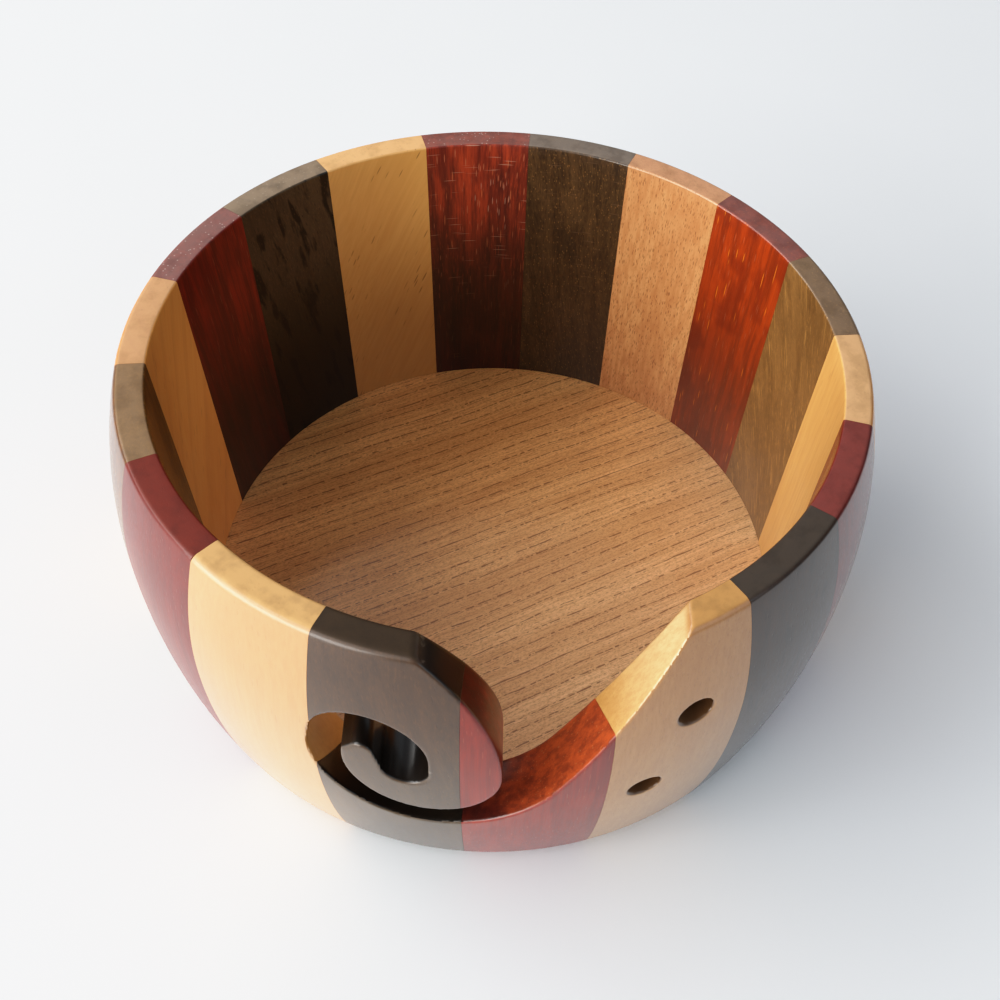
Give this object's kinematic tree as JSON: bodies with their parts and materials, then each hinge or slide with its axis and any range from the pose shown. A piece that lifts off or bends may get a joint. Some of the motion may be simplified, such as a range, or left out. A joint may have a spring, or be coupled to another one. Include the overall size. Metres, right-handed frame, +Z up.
{
  "type": "yarn bowl",
  "caption": "Round wooden bowl of glued staves with a scoop in the wall that runs into a spiral yarn slot, and needle holes beside it.",
  "frame": {"origin": "centre of the flat underside of the base", "axes": "+Z up through the bowl, -Y out of the scoop, +X to the right of someone facing the scoop"},
  "size_m": [0.1588, 0.1588, 0.0773],
  "materials": {
    "walnut": "dark walnut, satin lacquer",
    "maple": "pale maple, satin lacquer",
    "padauk": "red padauk, satin lacquer",
    "beech": "beech with dark flecks, satin lacquer"
  },
  "bodies": {
    "root": {"stave_01_walnut_foot": "walnut", "stave_01_walnut_hook": "walnut", "stave_02_maple": "maple", "stave_03_padauk": "padauk", "stave_04_walnut": "walnut", "stave_05_maple": "maple", "stave_06_padauk": "padauk", "stave_07_walnut": "walnut", "stave_08_maple": "maple", "stave_09_padauk": "padauk", "stave_10_walnut": "walnut", "stave_11_beech": "beech", "stave_12_padauk": "padauk", "stave_13_walnut": "walnut", "stave_14_maple": "maple", "stave_15_padauk": "padauk", "stave_16_walnut": "walnut", "stave_17_beech": "beech", "stave_18_padauk_foot": "padauk", "stave_18_padauk_tip": "padauk", "base_disc": "beech"}
  },
  "joints": []
}
